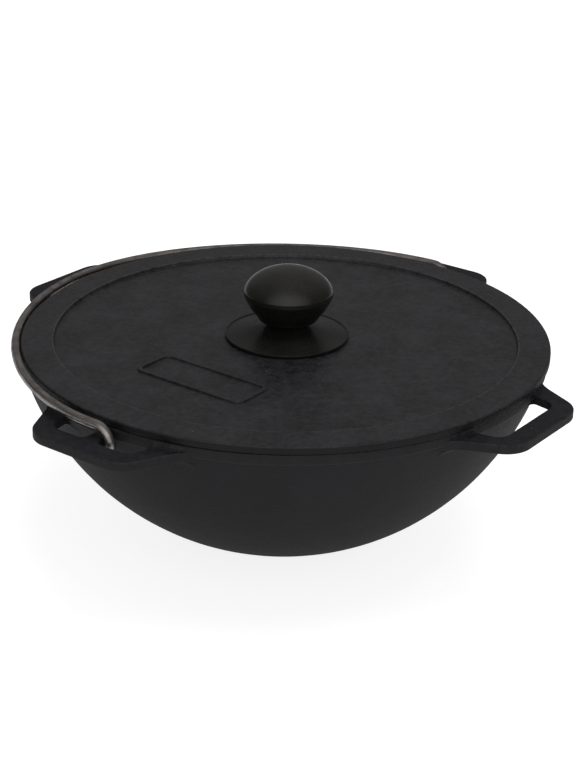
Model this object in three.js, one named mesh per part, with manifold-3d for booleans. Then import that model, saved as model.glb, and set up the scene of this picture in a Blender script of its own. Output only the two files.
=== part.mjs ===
// Cast iron cauldron: a round bowl with four cast ears, a flat lid with a phenolic knob,
// and a wire bail that hooks round the webs of two opposite ears.
// Millimetres, +Z up. The origin is under the middle of the foot, with the bail ears on X.
import * as THREE from 'three';
import { mergeVertices } from 'three/addons/utils/BufferGeometryUtils.js';
import Module from 'manifold-3d';

const wasm = await Module();
wasm.setup();

// Driving dimensions: bowl
const rimRadius = 180;          // outer radius of the rim band
const bowlHeight = 138.5;       // foot to rim
const footRadius = 40;          // flat that the bowl stands on
const wall = 4.5;
const floorThickness = 5.5;
const rimBandHeight = 7;        // upright band round the top of the wall
const rimBandProud = 0.8;       // how far the band stands out from the wall
const rimRound = 1.2;           // rounding of the rim's two edges

// Driving dimensions: ears
const earProjection = 29.3;     // rim to the straight outer edge
const earOuterHalfWidth = 37;   // half-width at the outer edge, before its corners are rounded
const earRootHalfWidth = 55;    // half-width where the sides meet the rim
const earCornerRadius = 17;
const earRootFillet = 34;       // plan radius that blends the sides into the rim
const earRootSweep = 31;        // degrees from the ear's middle to the end of its root
const earDrop = 4.1;            // rim to the ear's top face
const earThickness = 6.2;
const earEdgeRound = 1.3;
const earUnderFillet = 9;       // rolling-ball fillet between the ear's underside and the wall
const earBarWidth = 15;         // bar outside the slot
const earArmWidth = 11.5;       // arm beside the slot, where it meets the bar
const slotFlare = 10;           // degrees that the slot's ends open towards the bowl
const slotCornerRadius = 9;
const webWidth = 10;            // web across the slot of a bail ear
const webCornerRadius = 4;

// Driving dimensions: lid
const lidInset = 1.5;           // rim to the lid's edge, when both are centred
const lidEdgeThickness = 5.3;
const lidPanelThickness = 4.6;
const lidBorder = 21.3;         // raised border round the recessed panel
const lidPanelRecess = 2.2;
const lidTopRound = 1.1;
const lidBottomRound = 0.8;
const lidRingWidth = 3.4;       // locating ring inside the rim
const lidRingDepth = 5.5;
const lidRingClearance = 4;     // ring to the bowl's inside
const lidRingDraft = 0.8;
const lidSlackX = 0.4;          // where the lid lies within that clearance
const lidSlackY = -2.25;
const seatGap = 0.3;            // between pieces that rest on each other

// Driving dimensions: knob
const skirtRadius = 42.2;
const skirtRimHeight = 2.2;
const skirtEdgeRound = 0.7;
const skirtLip = 2.5;           // rim's width before the hollow underneath
const skirtHollow = 4;          // height of the hollow at the hub
const skirtHubRadius = 10;
const skirtTopHeight = 12.9;    // panel to the face that carries the head
const skirtNeckRadius = 9.5;
const skirtNeckFlare = 6;       // how far the neck's foot spreads into the dish
const skirtDishRise = 3;        // rim to the neck's foot
const headRadius = 30.4;
const headBandBottom = 30.4;    // panel to the lower edge of the upright band
const headBandTop = 33.2;       // panel to its upper edge
const headApex = 49.6;          // panel to the top
const headBaseRadius = 20.3;    // flat underside, at the small end of the cup
const headBaseRound = 1.2;
const headCupBulge = 1;         // how far the cup's side bows out from a cone
const domeShoulder = 0.55;      // share of the dome's height that its side stays steep
const domeInset = 3;            // how far the side leans in over that height
const domeCrown = 0.47;         // share of the radius that the top stays flat
const insertRadius = 5.7;
const insertLength = 15;
const insertChamfer = 0.8;
const insertBoreDepth = 13;
const screwRadius = 2.1;
const screwReach = 11;          // thread inside the insert
const screwHeadRadius = 4.75;
const screwHeadHeight = 3.2;
const screwHeadEdge = 1.1;      // upright edge of the pan head
const screwHeadFlat = 2.6;      // radius of the pan head's flat face
const screwTipChamfer = 0.7;
const washerRadius = 8;
const washerThickness = 1.2;
const screwPassClearance = 0.5; // least play of the screw in the lid and the skirt
const knobSlackX = 0.7;         // where the knob lies in the lid's oversize hole
const knobSlackY = -1;

// Driving dimensions: bail
const wireRadius = 2.8;
const hookPlay = 0.3;           // between the ring hook and the corners of the web
const hookToBar = 3;            // between the hook's wire and the ear's bar
const hookEndAngle = 300;       // degrees round the ring, where the wire is cut
const bailSlack = 1.2;          // where the bail lies within its side play
const crownOutset = 7.5;        // rim to the wire's centre at the middle of the arch
const shoulderOutset = 2.3;     // rim to the wire's centre where the arch comes closest
const shoulderGap = 0.3;        // between the rim and the wire at the high shoulder
const shoulderDrop = 1.6;       // how much lower the other shoulder of the bent wire lies

// Facets
const bowlFacets = 64;
const knobFacets = 32;
const screwFacets = 20;
const wireFacets = 10;

const rad = THREE.MathUtils.degToRad;
const deg = THREE.MathUtils.radToDeg;

// Geometry helpers

function point(x, y) {
  return new THREE.Vector2(x, y);
}

function arc(centreX, centreY, radius, fromDeg, toDeg, steps) {
  const clockwise = toDeg < fromDeg;
  const curve = new THREE.EllipseCurve(centreX, centreY, radius, radius, rad(fromDeg), rad(toDeg), clockwise);
  return curve.getPoints(steps);
}

// A closed loop of straight sides, each corner [x, y, radius] rounded by an arc.
function filletedLoop(corners, steps) {
  return corners.flatMap(([x, y, radius], index) => {
    const corner = point(x, y);
    if (radius === 0) return [corner];
    const before = corners.at(index - 1);
    const after = corners[(index + 1) % corners.length];
    const toBefore = point(before[0], before[1]).sub(corner).normalize();
    const toAfter = point(after[0], after[1]).sub(corner).normalize();
    const halfAngle = Math.acos(toBefore.dot(toAfter)) / 2;
    const bisector = toBefore.clone().add(toAfter).normalize();
    const centre = corner.clone().addScaledVector(bisector, radius / Math.sin(halfAngle));
    const start = corner.clone().addScaledVector(toBefore, radius / Math.tan(halfAngle)).sub(centre);
    const turn = Math.PI - 2 * halfAngle;
    const sense = Math.sign(toAfter.cross(toBefore));
    return Array.from({ length: steps + 1 }, (_, step) => {
      const turned = start.clone().rotateAround(point(0, 0), (sense * turn * step) / steps);
      return turned.add(centre);
    });
  });
}

// Welds shared vertices and drops the empty triangles that a revolve leaves on its axis.
function weld(geometry) {
  const bare = geometry.clone();
  bare.deleteAttribute('normal');
  bare.deleteAttribute('uv');
  const welded = mergeVertices(bare);
  const kept = [];
  for (let i = 0; i < welded.index.count; i += 3) {
    const triangle = [0, 1, 2].map((k) => welded.index.getX(i + k));
    if (new Set(triangle).size === 3) kept.push(...triangle);
  }
  welded.setIndex(kept);
  welded.computeVertexNormals();
  return welded;
}

function revolve(profile, facets) {
  return weld(new THREE.LatheGeometry(profile, facets).rotateX(Math.PI / 2));
}

function solidOf(geometry) {
  const welded = weld(geometry);
  const vertProperties = new Float32Array(welded.attributes.position.array);
  const triVerts = new Uint32Array(welded.index.array);
  return new wasm.Manifold(new wasm.Mesh({ numProp: 3, vertProperties, triVerts }));
}

function geometryOf(solid) {
  const { vertProperties, triVerts } = solid.getMesh();
  const geometry = new THREE.BufferGeometry();
  geometry.setAttribute('position', new THREE.BufferAttribute(vertProperties, 3));
  geometry.setIndex(Array.from(triVerts));
  geometry.computeVertexNormals();
  return geometry;
}

function part(name, geometry, material) {
  const mesh = new THREE.Mesh(geometry, material);
  mesh.name = name;
  return mesh;
}

// Bowl: the outside and the inside are spheres about one centre, cut flat at the foot.
const wallTopRadius = rimRadius - rimBandProud;
const bowlCentre = (wallTopRadius ** 2 + bowlHeight ** 2 - footRadius ** 2) / (2 * bowlHeight);
const outerSphere = Math.hypot(footRadius, bowlCentre);
const innerSphere = outerSphere - wall;

function sphereRadiusAt(sphere, z) {
  return Math.sqrt(sphere ** 2 - (bowlCentre - z) ** 2);
}

function sphereAngleAt(sphere, z) {
  return -deg(Math.asin((bowlCentre - z) / sphere));
}

const bandBottom = bowlHeight - rimBandHeight;
const innerRimRadius = sphereRadiusAt(innerSphere, bowlHeight);

function bowlOutside() {
  const wallTop = bandBottom - 2 * rimBandProud;
  return revolve([
    point(0, 0),
    ...arc(0, bowlCentre, outerSphere, sphereAngleAt(outerSphere, 0), sphereAngleAt(outerSphere, wallTop), 11),
    point(rimRadius, bandBottom),
    ...arc(rimRadius - rimRound, bowlHeight - rimRound, rimRound, 0, 90, 2),
    point(0, bowlHeight),
  ], bowlFacets);
}

function bowlInside() {
  const roundStart = bowlHeight - rimRound;
  const top = bowlHeight + wall;
  return revolve([
    point(0, floorThickness),
    ...arc(0, bowlCentre, innerSphere, sphereAngleAt(innerSphere, floorThickness),
      sphereAngleAt(innerSphere, roundStart), 9),
    point(innerRimRadius + rimRound, bowlHeight),
    point(innerRimRadius + rimRound, top),
    point(0, top),
  ], bowlFacets);
}

// Ears: flat plates with a slot, drawn with the ear on +X and turned into place.
const earTop = bowlHeight - earDrop;
const earMiddle = earTop - earThickness / 2;
const earReach = rimRadius + earProjection;
const earRootX = Math.sqrt(rimRadius ** 2 - earRootHalfWidth ** 2);
const slotOuter = earReach - earBarWidth;
const slotInner = sphereRadiusAt(innerSphere, earTop);
const earTaper = (earRootHalfWidth - earOuterHalfWidth) / (earReach - earRootX);
const slotHalfLength = earOuterHalfWidth + earTaper * earBarWidth - earArmWidth;

function earOutline() {
  const endX = innerRimRadius * Math.cos(rad(earRootSweep));
  const endY = innerRimRadius * Math.sin(rad(earRootSweep));
  return filletedLoop([
    [endX, -endY, 0],
    [earRootX, -earRootHalfWidth, earRootFillet],
    [earReach, -earOuterHalfWidth, earCornerRadius],
    [earReach, earOuterHalfWidth, earCornerRadius],
    [earRootX, earRootHalfWidth, earRootFillet],
    [endX, endY, 0],
  ], 5);
}

// Windows in the plate, as the y of each side at the bar; they run back into the bowl's wall.
function earWindows(hasWeb) {
  const flare = (slotOuter - slotInner) * Math.tan(rad(slotFlare));
  const far = slotHalfLength;
  const near = webWidth / 2;
  if (!hasWeb) {
    return [filletedLoop([
      [slotInner, -far - flare, 0],
      [slotOuter, -far, slotCornerRadius],
      [slotOuter, far, slotCornerRadius],
      [slotInner, far + flare, 0],
    ], 4)];
  }
  return [-1, 1].map((side) => filletedLoop([
    [slotInner, side * near, 0],
    [slotOuter, side * near, webCornerRadius],
    [slotOuter, side * far, slotCornerRadius],
    [slotInner, side * (far + flare), 0],
  ], 4));
}

function earShape(hasWeb) {
  const shape = new THREE.Shape(earOutline());
  shape.holes = earWindows(hasWeb).map((loop) => new THREE.Path(loop));
  return shape;
}

function earPlate(hasWeb) {
  const plate = new THREE.ExtrudeGeometry(earShape(hasWeb), {
    depth: earThickness - 2 * earEdgeRound,
    bevelThickness: earEdgeRound,
    bevelSize: earEdgeRound,
    bevelOffset: -earEdgeRound,
    bevelSegments: 2,
  });
  return solidOf(plate.translate(0, 0, earTop - earThickness + earEdgeRound));
}

// Fillet under the ear's arms: a ring with a rolling-ball section, cut to the ear's plan.
function earFillet(hasWeb) {
  const underside = earTop - earThickness;
  const ballZ = underside - earUnderFillet;
  const ballX = Math.sqrt((outerSphere + earUnderFillet) ** 2 - (bowlCentre - ballZ) ** 2);
  const touchAngle = 180 - deg(Math.atan2(bowlCentre - ballZ, ballX));
  const inside = sphereRadiusAt(innerSphere, ballZ) - earUnderFillet;
  const ring = revolve([
    point(inside, ballZ - earUnderFillet),
    ...arc(ballX, ballZ, earUnderFillet, touchAngle, 90, 5),
    point(ballX, earMiddle),
    point(inside, earMiddle),
    point(inside, ballZ - earUnderFillet),
  ], bowlFacets);
  const depth = earThickness + 3 * earUnderFillet;   // passes below the ring
  const plan = new THREE.ExtrudeGeometry(earShape(hasWeb), {
    depth,
    bevelThickness: 0,
    bevelSize: 0,
    bevelOffset: -earEdgeRound,
    bevelSegments: 1,
  });
  return solidOf(ring).intersect(solidOf(plan.translate(0, 0, earTop - depth)));
}

function cauldronBody() {
  let casting = solidOf(bowlOutside());
  for (const [turn, hasWeb] of [[0, true], [90, false], [180, true], [270, false]]) {
    const ear = earPlate(hasWeb).add(earFillet(hasWeb));
    casting = casting.add(ear.rotate([0, 0, turn]));
  }
  return geometryOf(casting.subtract(solidOf(bowlInside())));
}

// Lid: a disc with a recessed panel, resting on the rim, with a locating ring below.
const lidRadius = rimRadius - lidInset;
const lidPanelRadius = lidRadius - lidBorder;
const lidBottom = bowlHeight + seatGap;
const lidTop = lidBottom + lidEdgeThickness;
const panelTop = lidTop - lidPanelRecess;
const panelBottom = panelTop - lidPanelThickness;
const screwPassRadius = screwRadius + screwPassClearance + Math.hypot(knobSlackX, knobSlackY);

function lidDisc() {
  const ringOuter = innerRimRadius - lidRingClearance;
  const ringInner = ringOuter - lidRingWidth;
  const ringBottom = lidBottom - lidRingDepth;
  const topRoundCentre = lidRadius - lidTopRound;
  const bottomRoundCentre = lidRadius - lidBottomRound;
  return revolve([
    point(screwPassRadius, panelBottom),
    point(ringInner - lidRingDraft, panelBottom),
    point(ringInner, ringBottom),
    point(ringOuter - lidRingDraft, ringBottom),
    point(ringOuter, lidBottom),
    ...arc(bottomRoundCentre, lidBottom + lidBottomRound, lidBottomRound, -90, 0, 2),
    ...arc(topRoundCentre, lidTop - lidTopRound, lidTopRound, 0, 90, 4),
    point(lidPanelRadius + lidPanelRecess / 2, lidTop),
    point(lidPanelRadius - lidPanelRecess / 2, panelTop),
    point(screwPassRadius, panelTop),
    point(screwPassRadius, panelBottom),
  ], bowlFacets);
}

// Knob pieces, with heights taken from the lid's panel.
function knobSkirt() {
  const seat = panelTop + seatGap;
  const rimTop = seat + skirtRimHeight;
  const top = panelTop + skirtTopHeight;
  const dish = new THREE.QuadraticBezierCurve(
    point(skirtRadius - skirtEdgeRound, rimTop),
    point(skirtNeckRadius + skirtNeckFlare, rimTop + skirtDishRise),
    point(skirtNeckRadius, top - skirtEdgeRound),
  ).getPoints(7);
  return revolve([
    point(screwPassRadius, seat),
    point(skirtHubRadius, seat),
    point(skirtHubRadius, seat + skirtHollow),
    point(skirtRadius - skirtLip, seat),
    point(skirtRadius - skirtEdgeRound, seat),
    point(skirtRadius, seat + skirtEdgeRound),
    point(skirtRadius, rimTop - skirtEdgeRound),
    ...dish,
    point(skirtNeckRadius - skirtEdgeRound, top),
    point(screwPassRadius, top),
    point(screwPassRadius, seat),
  ], knobFacets);
}

const headBottom = panelTop + skirtTopHeight + seatGap;
const insertTop = headBottom + insertLength;

function knobHead() {
  const bandBottom = panelTop + headBandBottom;
  const bandTop = panelTop + headBandTop;
  const apex = panelTop + headApex;
  const boreRadius = insertRadius + seatGap;
  const baseEdge = point(headBaseRadius, headBottom + headBaseRound);
  const bandEdge = point(headRadius, bandBottom);
  const bow = bandEdge.clone().sub(baseEdge).rotateAround(point(0, 0), -Math.PI / 2).setLength(2 * headCupBulge);
  const cup = new THREE.QuadraticBezierCurve(baseEdge, baseEdge.clone().lerp(bandEdge, 1 / 2).add(bow), bandEdge);
  const dome = new THREE.CubicBezierCurve(
    point(headRadius, bandTop),
    point(headRadius - domeInset, THREE.MathUtils.lerp(bandTop, apex, domeShoulder)),
    point(headRadius * domeCrown, apex),
    point(0, apex),
  );
  return revolve([
    point(0, insertTop + seatGap),
    point(boreRadius, insertTop + seatGap),
    point(boreRadius, headBottom),
    point(headBaseRadius - headBaseRound, headBottom),
    ...cup.getPoints(5),
    ...dome.getPoints(8),
  ], knobFacets);
}

const threadRadius = screwRadius + seatGap;

function knobInsert() {
  const boreTop = headBottom + insertBoreDepth;
  return revolve([
    point(0, boreTop),
    point(threadRadius, boreTop),
    point(threadRadius, headBottom),
    point(insertRadius, headBottom),
    point(insertRadius, insertTop - insertChamfer),
    point(insertRadius - insertChamfer, insertTop),
    point(0, insertTop),
  ], screwFacets);
}

const washerTop = panelBottom - seatGap;
const screwHeadTop = washerTop - washerThickness - seatGap;

function knobScrew() {
  const headEdge = screwHeadTop - screwHeadEdge;
  const headBase = screwHeadTop - screwHeadHeight;
  const tip = headBottom + screwReach;
  const pan = new THREE.QuadraticBezierCurve(
    point(screwHeadFlat, headBase),
    point(screwHeadRadius, headBase),
    point(screwHeadRadius, headEdge),
  ).getPoints(4);
  return revolve([
    point(0, headBase),
    ...pan,
    point(screwHeadRadius, screwHeadTop),
    point(screwRadius, screwHeadTop),
    point(screwRadius, tip - screwTipChamfer),
    point(screwRadius - screwTipChamfer, tip),
    point(0, tip),
  ], screwFacets);
}

function knobWasher() {
  const bore = screwRadius + screwPassClearance;
  return revolve([
    point(bore, washerTop - washerThickness),
    point(washerRadius, washerTop - washerThickness),
    point(washerRadius, washerTop),
    point(bore, washerTop),
    point(bore, washerTop - washerThickness),
  ], screwFacets);
}

// Bail: one wire, with a ring hook at each end and an arch between them. The arch's shoulders
// lie just outside the rim, one a little above it and the other lower.
const hookRadius = wireRadius + Math.hypot(webWidth, earThickness) / 2 + hookPlay;
const hookHalfSpan = slotOuter - wireRadius - hookToBar;
const hookTop = earMiddle + hookRadius;
const crownReach = rimRadius + crownOutset;
const highShoulder = bowlHeight + wireRadius + shoulderGap;
const lowShoulder = highShoulder - shoulderDrop;
const crownTop = (4 * (highShoulder + lowShoulder) - hookTop) / 7;

class HookRing extends THREE.Curve {
  constructor(x, fromDeg, toDeg) {
    super();
    Object.assign(this, { x, fromDeg, toDeg });
  }

  getPoint(t, target = new THREE.Vector3()) {
    const angle = rad(THREE.MathUtils.lerp(this.fromDeg, this.toDeg, t));
    return target.set(this.x, hookRadius * Math.cos(angle), earMiddle + hookRadius * Math.sin(angle));
  }
}

// Curves joined end to end, each swept in its own number of steps, so tight bends get more.
class WirePath extends THREE.Curve {
  constructor(stretches) {
    super();
    this.stretches = stretches;
    this.steps = stretches.reduce((sum, stretch) => sum + stretch.steps, 0);
  }

  locate(u) {
    let step = u * this.steps;
    for (const { curve, steps } of this.stretches) {
      if (step <= steps + 1e-9) return [curve, Math.min(step / steps, 1)];
      step -= steps;
    }
    throw new Error('outside the wire');
  }

  getPointAt(u, target) {
    const [curve, t] = this.locate(u);
    return curve.getPoint(t, target);
  }

  getTangentAt(u, target) {
    const [curve, t] = this.locate(u);
    return curve.getTangent(t, target);
  }
}

// Half of the arch, from the hook's top to the crown, through its shoulder at mid-curve.
function archHalf(side) {
  const shoulder = side < 0 ? highShoulder : lowShoulder;
  const pull = ((rimRadius + shoulderOutset) / Math.hypot(hookHalfSpan, crownReach) - 1 / 2) * 8 / 3;
  const pullTop = (8 * shoulder - hookTop - crownTop) / 6;
  const hookX = side * hookHalfSpan;
  return new THREE.CubicBezierCurve3(
    new THREE.Vector3(hookX, 0, hookTop),
    new THREE.Vector3(hookX, pull * crownReach, pullTop),
    new THREE.Vector3(pull * hookX, crownReach, pullTop),
    new THREE.Vector3(0, crownReach, crownTop),
  );
}

class Reversed extends THREE.Curve {
  constructor(curve) {
    super();
    this.curve = curve;
  }

  getPoint(t, target) {
    return this.curve.getPoint(1 - t, target);
  }
}

function bailHandle() {
  const path = new WirePath([
    { curve: new HookRing(-hookHalfSpan, hookEndAngle, 90), steps: 10 },
    { curve: archHalf(-1), steps: 18 },
    { curve: new Reversed(archHalf(1)), steps: 18 },
    { curve: new HookRing(hookHalfSpan, 90, hookEndAngle), steps: 10 },
  ]);
  const section = new THREE.Shape(arc(0, 0, wireRadius, 0, 360, wireFacets).slice(0, -1));
  const wire = new THREE.ExtrudeGeometry(section, { steps: path.steps, extrudePath: path });
  return weld(wire);
}

// Materials
const castIron = new THREE.MeshStandardMaterial({ color: 0x232324, roughness: 0.62, metalness: 0.35 });
const lidIron = new THREE.MeshStandardMaterial({ color: 0x282829, roughness: 0.6, metalness: 0.35 });
const phenolic = new THREE.MeshStandardMaterial({ color: 0x101011, roughness: 0.16, metalness: 0 });
const skirtPhenolic = new THREE.MeshStandardMaterial({ color: 0x131314, roughness: 0.2, metalness: 0 });
const brass = new THREE.MeshStandardMaterial({ color: 0xb08d4a, roughness: 0.35, metalness: 1 });
const screwSteel = new THREE.MeshStandardMaterial({ color: 0x9a9a98, roughness: 0.35, metalness: 1 });
const washerSteel = new THREE.MeshStandardMaterial({ color: 0xa6a6a4, roughness: 0.4, metalness: 1 });
const wireSteel = new THREE.MeshStandardMaterial({ color: 0x6f6b66, roughness: 0.42, metalness: 1 });

// Assembly
const cauldron = new THREE.Group();
cauldron.add(part('cauldron_body', cauldronBody(), castIron));

const lidGroup = new THREE.Group();
lidGroup.position.set(lidSlackX, lidSlackY, 0);
lidGroup.add(part('lid', lidDisc(), lidIron));
cauldron.add(lidGroup);

const skirt = part('knob_skirt', knobSkirt(), skirtPhenolic);
skirt.position.set(knobSlackX / 2, knobSlackY / 2, 0);
lidGroup.add(skirt);

const knobGroup = new THREE.Group();
knobGroup.position.set(knobSlackX, knobSlackY, 0);
knobGroup.add(part('knob_head', knobHead(), phenolic));
knobGroup.add(part('knob_insert', knobInsert(), brass));
knobGroup.add(part('knob_screw', knobScrew(), screwSteel));
knobGroup.add(part('knob_washer', knobWasher(), washerSteel));
lidGroup.add(knobGroup);

const bail = part('bail_handle', bailHandle(), wireSteel);
bail.position.set(bailSlack, 0, 0);
cauldron.add(bail);

export default cauldron;
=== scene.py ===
import math

import bmesh
import bpy
from mathutils import Matrix, Quaternion, Vector, noise


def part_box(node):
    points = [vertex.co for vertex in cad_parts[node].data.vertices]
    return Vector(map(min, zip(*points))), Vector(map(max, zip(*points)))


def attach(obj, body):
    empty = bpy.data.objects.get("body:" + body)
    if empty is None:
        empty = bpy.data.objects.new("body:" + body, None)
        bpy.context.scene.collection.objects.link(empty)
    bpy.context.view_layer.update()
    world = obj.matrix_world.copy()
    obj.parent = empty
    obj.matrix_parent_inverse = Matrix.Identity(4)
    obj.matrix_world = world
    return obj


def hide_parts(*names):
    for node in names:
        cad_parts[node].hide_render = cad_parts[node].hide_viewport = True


for leftover in ("Cube", "Light", "Camera"):  # Blender's own start-up objects
    if leftover in bpy.data.objects:
        bpy.data.objects.remove(bpy.data.objects[leftover])

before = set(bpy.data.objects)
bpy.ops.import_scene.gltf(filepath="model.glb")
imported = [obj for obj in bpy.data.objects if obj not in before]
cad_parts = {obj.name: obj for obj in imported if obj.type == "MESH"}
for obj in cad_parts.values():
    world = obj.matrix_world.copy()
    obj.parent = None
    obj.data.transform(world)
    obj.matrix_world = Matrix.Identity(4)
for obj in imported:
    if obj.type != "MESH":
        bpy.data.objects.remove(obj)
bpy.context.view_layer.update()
mm = 0.001  # pieces are worked out in millimetres, as the CAD is
scene = bpy.context.scene
print("frame loaded:", len(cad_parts), "nodes")


def nodeBox(node):
    low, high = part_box(node)
    return low / mm, high / mm


def nodeCentre(node):
    low, high = nodeBox(node)
    return (low + high) / 2


# Profiles and outlines, as lists of points

def arcPoints(centre, radius, start, end, steps):
    angles = [math.radians(start + (end - start) * k / steps) for k in range(steps + 1)]
    return [(centre[0] + radius * math.cos(a), centre[1] + radius * math.sin(a)) for a in angles]


def bezierPoints(controls, steps):
    points = []
    for k in range(steps + 1):
        row = [Vector(control) for control in controls]
        while len(row) > 1:
            row = [a.lerp(b, k / steps) for a, b in zip(row, row[1:])]
        points.append(row[0])
    return points


def roundedLoop(corners, steps):
    # corners are (x, y) or (x, y, radius); a radius swaps the corner for an arc
    loop = []
    for k, (x, y, *rounding) in enumerate(corners):
        corner = Vector((x, y))
        if not rounding:
            loop.append(corner)
            continue
        toBefore = (Vector(corners[k - 1][:2]) - corner).normalized()
        toAfter = (Vector(corners[(k + 1) % len(corners)][:2]) - corner).normalized()
        half = toBefore.angle(toAfter) / 2
        middle = corner + (toBefore + toAfter).normalized() * rounding[0] / math.sin(half)
        start = corner + toBefore * rounding[0] / math.tan(half) - middle
        sense = 1 if toAfter.cross(toBefore) > 0 else -1
        for step in range(steps + 1):
            turn = Matrix.Rotation(sense * (math.pi - 2 * half) * step / steps, 2)
            loop.append(middle + turn @ start)
    return loop


def evenly(points, longest):
    # splits long straight runs, so that a turned face has rings to carry its unevenness
    spread = [Vector(points[0])]
    for point in map(Vector, points[1:]):
        start = spread[-1].copy()
        parts = max(1, math.ceil((point - start).length / longest))
        spread += [start.lerp(point, k / parts) for k in range(1, parts + 1)]
    return spread


# Meshes

def pieceFrom(shape, name):
    bmesh.ops.recalc_face_normals(shape, faces=shape.faces)
    mesh = bpy.data.meshes.new(name)
    shape.to_mesh(mesh)
    shape.free()
    piece = bpy.data.objects.new(name, mesh)
    scene.collection.objects.link(piece)
    return piece


def turned(name, profile, centre=(0, 0), sides=256, swell=None):
    # turns a profile of (radius, z) about an upright axis; swell changes a radius by height and angle
    shape = bmesh.new()
    rings = []
    for radius, z in profile:
        count = 1 if radius < 1e-6 else sides
        ring = []
        for k in range(count):
            angle = 2 * math.pi * k / sides
            reach = swell(radius, z, angle) if swell else radius
            x = centre[0] + reach * math.cos(angle)
            y = centre[1] + reach * math.sin(angle)
            ring.append(shape.verts.new((x * mm, y * mm, z * mm)))
        rings.append(ring)
    if len(rings[0]) > 1:
        rings.append(rings[0])  # a section off the axis closes on itself
    for lower, upper in zip(rings, rings[1:]):
        for k in range(sides):
            near, far = k, (k + 1) % sides
            corners = [lower[near % len(lower)], lower[far % len(lower)],
                       upper[far % len(upper)], upper[near % len(upper)]]
            shape.faces.new(list(dict.fromkeys(corners)))
    return pieceFrom(shape, name)


def plate(name, loops, low, high, edgeRound, inset=0):
    # a flat plate with holes; the first loop is its outline, and its edges are rounded
    curve = bpy.data.curves.new(name, "CURVE")
    curve.dimensions = "2D"
    curve.fill_mode = "BOTH"
    for loop in loops:
        spline = curve.splines.new("POLY")
        spline.points.add(len(loop) - 1)
        for point, (x, y) in zip(spline.points, loop):
            point.co = (x * mm, y * mm, 0, 1)
        spline.use_cyclic_u = True
    curve.bevel_depth = edgeRound * mm
    curve.bevel_resolution = 3
    curve.offset = -(edgeRound + inset) * mm
    curve.extrude = ((high - low) / 2 - edgeRound) * mm
    holder = bpy.data.objects.new(name, curve)
    scene.collection.objects.link(holder)
    mesh = bpy.data.meshes.new_from_object(holder.evaluated_get(bpy.context.evaluated_depsgraph_get()))
    bpy.data.objects.remove(holder)
    shape = bmesh.new()
    shape.from_mesh(mesh)
    bmesh.ops.translate(shape, vec=(0, 0, (low + high) / 2 * mm), verts=shape.verts)
    bmesh.ops.remove_doubles(shape, verts=shape.verts, dist=0.001 * mm)
    return pieceFrom(shape, name)


def applied(piece):
    bpy.context.view_layer.update()
    mesh = bpy.data.meshes.new_from_object(piece.evaluated_get(bpy.context.evaluated_depsgraph_get()))
    piece.modifiers.clear()
    piece.data = mesh
    return piece


def combined(piece, operation, *others):
    for other in others:
        step = piece.modifiers.new(operation, "BOOLEAN")
        step.operation = operation
        step.solver = "MANIFOLD"
        step.object = other
    applied(piece)
    for other in others:
        bpy.data.objects.remove(other)
    return piece


def turnedCopy(piece, degrees):
    twin = bpy.data.objects.new(piece.name + "_copy", piece.data.copy())
    twin.data.transform(Matrix.Rotation(math.radians(degrees), 4, "Z"))
    scene.collection.objects.link(twin)
    return twin


def castSkin(piece, height, length, clearBelow):
    # the slight waves of a sand casting; none at the level that the piece stands on
    outward = [vertex.normal.copy() for vertex in piece.data.vertices]
    for vertex, normal in zip(piece.data.vertices, outward):
        share = min(1, max(0, vertex.co.z / mm - clearBelow) / length)
        wave = noise.noise(vertex.co / (length * mm)) + noise.noise(vertex.co / (length * mm / 2)) / 2
        vertex.co += normal * wave * share * height * mm
    return piece


def smoothed(piece, sharpAngle=32):
    mesh = piece.data
    mesh.polygons.foreach_set("use_smooth", [True] * len(mesh.polygons))
    mesh.set_sharp_from_angle(angle=math.radians(sharpAngle))
    even = piece.modifiers.new("even_shading", "WEIGHTED_NORMAL")
    even.keep_sharp = True
    return piece


# Shader nodes

class Value:
    def __init__(self, graph, socket):
        self.graph = graph
        self.socket = socket

    def maths(self, operation, first, second):
        return self.graph.node("ShaderNodeMath", {"operation": operation}, {0: first, 1: second})

    def __add__(self, other):
        return self.maths("ADD", self, other)

    def __sub__(self, other):
        return self.maths("SUBTRACT", self, other)

    def __rsub__(self, other):
        return self.maths("SUBTRACT", other, self)

    def __mul__(self, other):
        return self.maths("MULTIPLY", self, other)

    def __lt__(self, other):
        return self.maths("LESS_THAN", self, other)

    def __gt__(self, other):
        return self.maths("GREATER_THAN", self, other)

    __radd__ = __add__


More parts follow.
